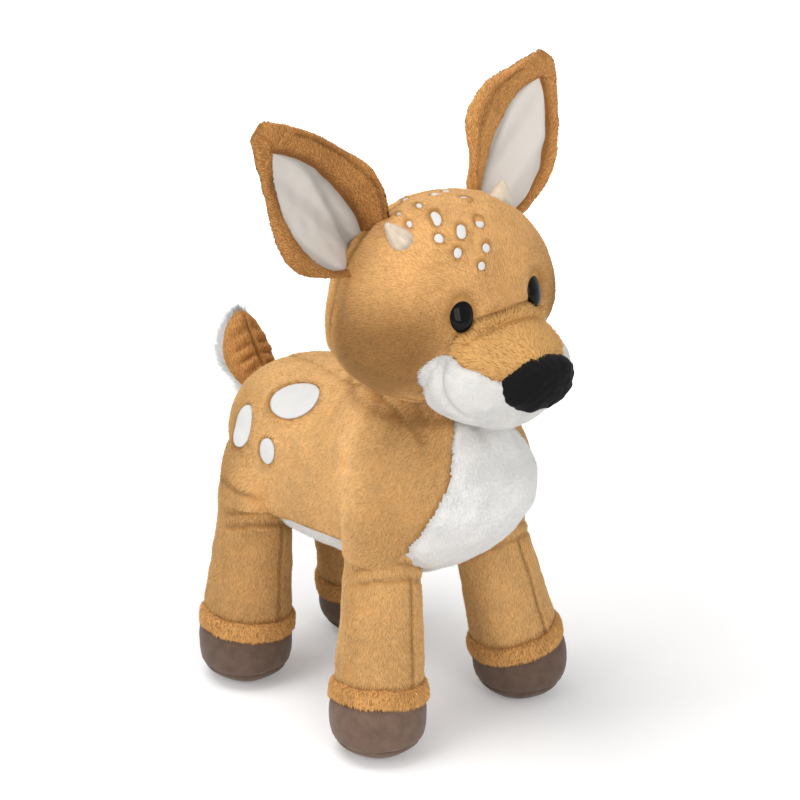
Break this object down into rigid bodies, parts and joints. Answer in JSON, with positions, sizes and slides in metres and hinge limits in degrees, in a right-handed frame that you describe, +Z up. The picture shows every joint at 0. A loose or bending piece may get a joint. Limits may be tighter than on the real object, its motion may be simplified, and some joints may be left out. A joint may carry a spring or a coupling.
{
  "type": "plush deer",
  "caption": "Standing plush deer with a stuffed barrel body, a large egg-shaped head, upright pointed ears, cuffed legs with suede hooves and a curled tail.",
  "frame": {"origin": "on the floor, under the middle of the deer's bounds", "axes": "+Z up, the deer looks along -Y and its left side is +X"},
  "size_m": [0.3036, 0.3398, 0.4955],
  "materials": {
    "tan_pile": "dense matt pile, tan",
    "bright_pile": "longer, brighter tan pile",
    "white_pile": "short white pile",
    "patch_cloth": "smooth brushed white cloth",
    "ear_lining_cloth": "short smooth white pile",
    "satin": "champagne satin with a soft sheen",
    "hoof_suede": "matt grey-brown suede cloth",
    "nose_cloth": "black brushed cloth",
    "eye_gloss": "black, highly polished",
    "washer_plastic": "plain white moulding",
    "fibre": "loose polyester fibre"
  },
  "bodies": {
    "torso": {"torso_cover": "tan_pile", "chest_belly_panel": "white_pile", "torso_stuffing": "fibre", "rump_patch_large_right": "patch_cloth", "rump_patch_rear_right": "patch_cloth", "rump_patch_small_right": "patch_cloth", "rump_patch_large_left": "patch_cloth", "rump_patch_rear_left": "patch_cloth", "rump_patch_small_left": "patch_cloth"},
    "neck": {"neck_stuffing": "fibre"},
    "head": {"head_cover": "tan_pile", "head_stuffing": "fibre", "muzzle_top_panel": "bright_pile", "muzzle_lower_panel": "white_pile", "muzzle_stuffing": "fibre", "nose": "nose_cloth", "eye_right": "eye_gloss", "eye_washer_right": "washer_plastic", "horn_right": "satin", "eye_left": "eye_gloss", "eye_washer_left": "washer_plastic", "horn_left": "satin"},
    "ear_right": {"ear_back_right": "tan_pile", "ear_lining_right": "ear_lining_cloth"},
    "ear_left": {"ear_back_left": "tan_pile", "ear_lining_left": "ear_lining_cloth"},
    "tail": {"tail_top_panel": "tan_pile", "tail_under_panel": "white_pile", "tail_stuffing": "fibre"},
    "leg_front_right": {"leg_cover_front_right": "tan_pile", "cuff_front_right": "tan_pile", "hoof_cover_front_right": "hoof_suede", "sole_front_right": "hoof_suede", "leg_stuffing_front_right": "fibre"},
    "leg_front_left": {"leg_cover_front_left": "tan_pile", "cuff_front_left": "tan_pile", "hoof_cover_front_left": "hoof_suede", "sole_front_left": "hoof_suede", "leg_stuffing_front_left": "fibre"},
    "leg_hind_right": {"leg_cover_hind_right": "tan_pile", "cuff_hind_right": "tan_pile", "hoof_cover_hind_right": "hoof_suede", "sole_hind_right": "hoof_suede", "leg_stuffing_hind_right": "fibre"},
    "leg_hind_left": {"leg_cover_hind_left": "tan_pile", "cuff_hind_left": "tan_pile", "hoof_cover_hind_left": "hoof_suede", "sole_hind_left": "hoof_suede", "leg_stuffing_hind_left": "fibre"}
  },
  "joints": [
    {"name": "head_turn", "type": "hinge", "parent": "torso", "child": "neck", "pos_m": [0, -0.04168, 0.262], "axis": [0, 0, 1], "range_deg": [-18, 18], "stiffness_Nm_per_rad": 2},
    {"name": "head_nod", "type": "hinge", "parent": "neck", "child": "head", "pos_m": [0, -0.04168, 0.262], "axis": [1, 0, 0], "range_deg": [-9, 9], "stiffness_Nm_per_rad": 3},
    {"name": "ear_bend_right", "type": "hinge", "parent": "head", "child": "ear_right", "pos_m": [-0.06565, -0.04109, 0.39094], "axis": [0.7814, 0.1378, 0.6086], "range_deg": [-25, 25], "stiffness_Nm_per_rad": 0.5},
    {"name": "ear_bend_left", "type": "hinge", "parent": "head", "child": "ear_left", "pos_m": [0.06565, -0.04109, 0.39094], "axis": [0.7814, -0.1378, -0.6086], "range_deg": [-25, 25], "stiffness_Nm_per_rad": 0.5},
    {"name": "tail_bend", "type": "hinge", "parent": "torso", "child": "tail", "pos_m": [0, 0.12332, 0.218], "axis": [1, 0, 0], "range_deg": [-20, 20], "stiffness_Nm_per_rad": 0.4},
    {"name": "swing_front_right", "type": "hinge", "parent": "torso", "child": "leg_front_right", "pos_m": [-0.051, -0.04978, 0.15], "axis": [1, 0, 0], "range_deg": [-10, 10], "stiffness_Nm_per_rad": 3},
    {"name": "swing_front_left", "type": "hinge", "parent": "torso", "child": "leg_front_left", "pos_m": [0.05297, -0.05879, 0.15], "axis": [1, 0, 0], "range_deg": [-10, 10], "stiffness_Nm_per_rad": 3},
    {"name": "swing_hind_right", "type": "hinge", "parent": "torso", "child": "leg_hind_right", "pos_m": [-0.04598, 0.09436, 0.15], "axis": [1, 0, 0], "range_deg": [-10, 10], "stiffness_Nm_per_rad": 3},
    {"name": "swing_hind_left", "type": "hinge", "parent": "torso", "child": "leg_hind_left", "pos_m": [0.04598, 0.09436, 0.15], "axis": [1, 0, 0], "range_deg": [-10, 10], "stiffness_Nm_per_rad": 3}
  ]
}
